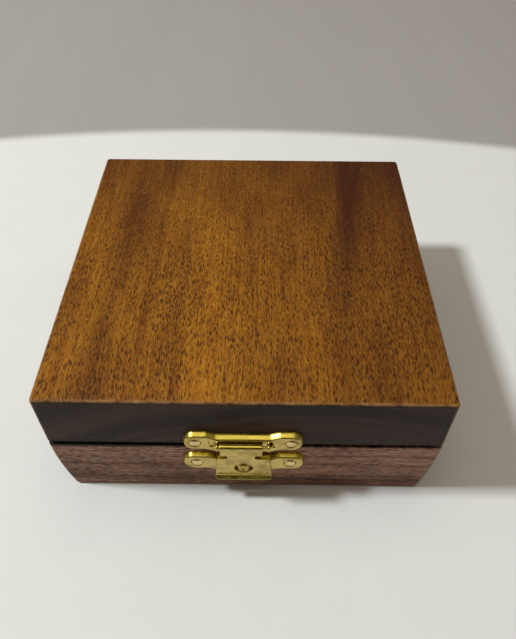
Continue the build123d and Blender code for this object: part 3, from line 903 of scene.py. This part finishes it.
# %% Hammer marks: shallow dents about 0.7 mm apart
marks_apart = 0.7 * MM
terms = {0: place, "Scale": 1 / marks_apart}
marks_at = add(nail_tree, "ShaderNodeVectorMath", terms, operation="SCALE").outputs[0]
marks = add(nail_tree, "ShaderNodeTexNoise", {"Vector": marks_at, "Scale": 1.0, "Detail": 1.0})
terms = {0: marks.outputs["Fac"], 1: 0.5}
depth = add(nail_tree, "ShaderNodeMath", terms, operation="SUBTRACT").outputs[0]
terms = {0: depth, 1: given["Hammering"]}
depth = add(nail_tree, "ShaderNodeMath", terms, operation="MULTIPLY").outputs[0]
normal = add(nail_tree, "GeometryNodeInputNormal")
terms = {0: normal.outputs[0], "Scale": depth}
push = add(nail_tree, "ShaderNodeVectorMath", terms, operation="SCALE").outputs[0]
hammer_push = {"Geometry": real_nails.outputs[0], "Offset": push}
hammered = add(nail_tree, "GeometryNodeSetPosition", hammer_push)
smooth = add(nail_tree, "GeometryNodeSetShadeSmooth", {0: hammered.outputs[0]})
nail_finish = {"Geometry": smooth.outputs[0], "Material": given["Finish"]}
finished = add(nail_tree, "GeometryNodeSetMaterial", nail_finish)
add(nail_tree, "NodeGroupOutput", {0: finished.outputs[0]})
print("nail tree:", len(nail_tree.nodes), "nodes")


# %% Where the nails sit
def seats_of(node, size, lift_mm):
    """Where the two nails of a node sit, which way they face and how large they are."""
    low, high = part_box(node)
    side = -1 if low.y < 0 else 1
    surface = (low.y if side < 0 else high.y) - side * (nail_sizes["Head height"] - lift_mm * MM)
    across = nail_sizes["Head radius"]
    height = (low.z + high.z) / 2
    ends = (low.x + across, high.x - across)
    return [(Vector((x, surface, height)), Vector((0, side, 0)), size) for x in ends]


def nail_piece(name, body, seats, replaced, seed):
    """Bake the nails of one body into one mesh."""
    cloud = bpy.data.meshes.new(name)
    cloud.from_pydata([place for place, way, size in seats], [], [])
    # Each attribute is filled before the next is made, because making one moves the others
    outward = cloud.attributes.new("outward", "FLOAT_VECTOR", "POINT")
    for index, (place, way, size) in enumerate(seats):
        outward.data[index].vector = way
    sizes = cloud.attributes.new("size", "FLOAT", "POINT")
    for index, (place, way, size) in enumerate(seats):
        sizes.data[index].value = size
    source = bpy.data.objects.new(name, cloud)
    bpy.context.scene.collection.objects.link(source)
    modifier = source.modifiers.new("nails", "NODES")
    modifier.node_group = nail_tree
    inputs = [item for item in nail_tree.interface.items_tree if item.in_out == "INPUT"]
    identifiers = {item.name: item.identifier for item in inputs}
    for label, value in {**nail_sizes, "Seed": seed, "Finish": nail_brass}.items():
        modifier[identifiers[label]] = value
    mesh = baked(source)
    placed(name, mesh, body, replaced)
    return len(mesh.polygons)


# %% The nails of both bodies
latch_nail_size, latch_nail_lift, hinge_nail_size = 1.16, 0.1, 1.0
nail_seeds = {"lid": 4, "base": 9}
for body, seed in nail_seeds.items():
    groups = [f"{hardware}_{body}_nails" for hardware in ("latch", "hinge_left", "hinge_right")]
    seats = seats_of(groups[0], latch_nail_size, latch_nail_lift)
    for group in groups[1:]:
        seats += seats_of(group, hinge_nail_size, 0.0)
    print("nails on the", body, "faces:", nail_piece(f"nails_{body}", body, seats, groups, seed))

# %% [markdown]
# ## The linings
#
# Each hollow is lined with two sorts of piece: a strip of velvet-covered card round the walls and
# a foam-backed pad across the end. Cloth pulled round a card rounds its edges and swells a little
# between them. All four are lofts through rounded rectangles: a list of rings, each with how far in
# from the hollow's wall it lies and how high. Smooth noise then moves every point a little, since
# hand-glued cloth is never quite even.


# %% Lofts
def rounded_rectangle(width, depth, corner, side_steps=28, corner_steps=8):
    """Points round a rounded rectangle, always as many, whatever its size."""
    corner = max(corner, 0.05)
    signs = ((1, 1), (-1, 1), (-1, -1), (1, -1))
    middles = [Vector((x * (width / 2 - corner), y * (depth / 2 - corner))) for x, y in signs]

    def on_corner(quarter, share):
        angle = math.radians(90 * (quarter + share))
        return middles[quarter % 4] + corner * Vector((math.cos(angle), math.sin(angle)))

    points = []
    for quarter in range(4):
        points += [on_corner(quarter, step / corner_steps) for step in range(corner_steps + 1)]
        start, goal = points[-1], on_corner(quarter + 1, 0)
        points += [start.lerp(goal, step / side_steps) for step in range(1, side_steps)]
    return points


def loft(name, rings, hollow_width, hollow_depth, hollow_corner, is_tube):
    """Skin a list of (inset, height) rings: a tube closes on itself, a pad at its two middles."""
    form = bmesh.new()
    loops = []
    for inset, height in rings:
        width, depth = hollow_width - 2 * inset, hollow_depth - 2 * inset
        outline = rounded_rectangle(width, depth, hollow_corner - inset)
        loops.append([form.verts.new((p.x, p.y, height)) for p in outline])
    pairs = list(zip(loops, loops[1:])) + ([(loops[-1], loops[0])] if is_tube else [])
    count = len(loops[0])
    for lower, upper in pairs:
        for i in range(count):
            j = (i + 1) % count
            form.faces.new((lower[i], lower[j], upper[j], upper[i]))
    if not is_tube:
        for loop, z in ((loops[0], rings[0][1]), (loops[-1], rings[-1][1])):
            hub = form.verts.new((0, 0, z))
            for i in range(count):
                form.faces.new((loop[i], loop[(i + 1) % count], hub))
    bmesh.ops.recalc_face_normals(form, faces=form.faces)
    mesh = bpy.data.meshes.new(name)
    form.to_mesh(mesh)
    form.free()
    return mesh


print("points in a ring:", len(rounded_rectangle(60, 60, 5)))

# %% [markdown]
# ## Swelling
#
# A pad is foam with cloth drawn over it and glued down round its foot, so its face bulges most in
# the middle. The bulge could be drawn by hand as a dome, but a cover under pressure finds its own
# shape at the corners. A short cloth simulation with air inside gives it: no gravity, the foot held
# fast, twenty frames. Left alone the cover would rise by nearly 3 mm, more than glued cloth gives,
# so every move is scaled down to stay under half a millimetre. The cloth solver is meant for things
# the size of a cushion, so it works on the pad at ten times its real size. One round of subdivision
# follows.

# %% Swelling
work_scale, foot_height, swell_cap_mm = 0.01, 0.6, 0.5
last_frame, cloth_quality, air_pressure = 20, 6, 1.2


def swollen(mesh, floor_z, cap_mm):
    """Let a cover swell over its foam, glued round its foot, with the swelling under a cap."""
    starts = [v.co.copy() for v in mesh.vertices]
    foot = [v.index for v in mesh.vertices if abs(v.co.z - floor_z) < foot_height]
    mesh.transform(Matrix.Scale(work_scale, 4))
    source = bpy.data.objects.new(mesh.name, mesh)
    bpy.context.scene.collection.objects.link(source)
    glued = source.vertex_groups.new(name="glued")
    glued.add(foot, 1.0, "REPLACE")
    cloth = source.modifiers.new("cover", "CLOTH")
    cloth.settings.quality = cloth_quality
    cloth.settings.use_pressure = True
    cloth.settings.uniform_pressure_force = air_pressure
    cloth.settings.effector_weights.gravity = 0
    cloth.settings.vertex_group_mass = glued.name
    cloth.point_cache.frame_end = last_frame
    for moment in range(1, last_frame + 1):
        bpy.context.scene.frame_set(moment)
    result = baked(source)
    bpy.context.scene.frame_set(1)
    result.transform(Matrix.Scale(1 / work_scale, 4))
    result.name = mesh.name
    furthest = 0.0
    for vertex, start in zip(result.vertices, starts):
        move = vertex.co - start
        furthest = max(furthest, move.length)
        vertex.co = start + move * cap_mm / (cap_mm + move.length)
    print("swelled by up to", round(furthest, 2), "mm, and held under", cap_mm, "mm")
    return result


def subdivided(mesh):
    """One round of subdivision, baked."""
    source = bpy.data.objects.new(mesh.name, mesh)
    bpy.context.scene.collection.objects.link(source)
    finer = source.modifiers.new("finer", "SUBSURF")
    finer.levels = finer.render_levels = 1
    return baked(source)


print("swelling held under", swell_cap_mm, "mm")


# %% Lining tools
def lining(name, mesh, body, node):
    """Turn a mesh in millimetres into a lining piece that stands for its CAD solid."""
    mesh.transform(Matrix.Scale(MM, 4))
    mesh.shade_smooth()
    mesh.materials.append(velvet)
    placed(name, mesh, body, [node])


def box_of(node):
    """The two corners of a node's box, in millimetres."""
    return [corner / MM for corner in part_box(node)]


def strip_rings(root, lip, up):
    """The rings of a wall strip: up the outside, over the lip and down the inside."""
    return [
        (0.05, root),
        (0.0, root + up * 0.6),
        (0.0, (root + lip) / 2),
        (0.0, lip - up * 0.7),
        (0.12, lip - up * 0.3),
        (0.35, lip - up * 0.06),
        (0.6, lip),
        (0.88, lip - up * 0.06),
        (1.12, lip - up * 0.3),
        (1.24, lip - up * 0.75),
        (1.32, root + (lip - root) * 0.6),
        (1.32, root + (lip - root) * 0.4),
        (1.2, root + up * 0.5),
        (1.1, root),
    ]


def pad_rings(floor_z, face_z, up):
    """The rings of a pad: from under its foot, round its edge and on to the middle of its face."""
    edge = ((3.0, 0), (0.5, 0), (0.15, 0.2), (0.0, 0.55))
    edge += ((0.1, 0.95), (0.4, 1.22), (0.9, 1.36), (1.8, 1.44))
    face = ((3.5, 0.04), (6.0, 0.12), (10.0, 0.22), (15.0, 0.3))
    face += ((21.0, 0.34), (27.0, 0.35), (30.5, 0.35))
    rings = [(inset, floor_z + up * rise) for inset, rise in edge]
    return rings + [(inset, face_z + up * rise) for inset, rise in face]


print("rings of a pad:", len(pad_rings(0.0, 1.5, 1)))

# %% Linings
strip_corner, pad_corner = 5.9, 4.6
strip_dent_mm, strip_dent_length, strip_seed = 0.12, 7.0, 3
pad_dent_mm, pad_dent_length, pad_seed = 0.16, 9.0, 8
for body, strip_node, pad_node, up in (
    ("base", "base_wall_lining", "base_floor_pad", 1),
    ("lid", "lid_wall_lining", "lid_pad", -1),
):
    low, high = box_of(strip_node)
    lip, root = (high.z, low.z) if up == 1 else (low.z, high.z)
    rings = strip_rings(root, lip, up)
    strip = loft(strip_node + "_cloth", rings, high.x - low.x, high.y - low.y, strip_corner, True)
    dent(strip, strip_dent_mm, strip_dent_length, strip_seed + up)
    lining(strip_node + "_cloth", strip, body, strip_node)

    low, high = box_of(pad_node)
    floor_z, face_z = (low.z, high.z) if up == 1 else (high.z, low.z)
    rings = pad_rings(floor_z, face_z, up)
    pad = loft(pad_node + "_cloth", rings, high.x - low.x, high.y - low.y, pad_corner, False)
    dent(pad, pad_dent_mm, pad_dent_length, pad_seed + up)
    pad = subdivided(swollen(pad, floor_z, swell_cap_mm))
    lining(pad_node + "_cloth", pad, body, pad_node)
    print(body, "strip and pad faces:", len(strip.polygons), len(pad.polygons))
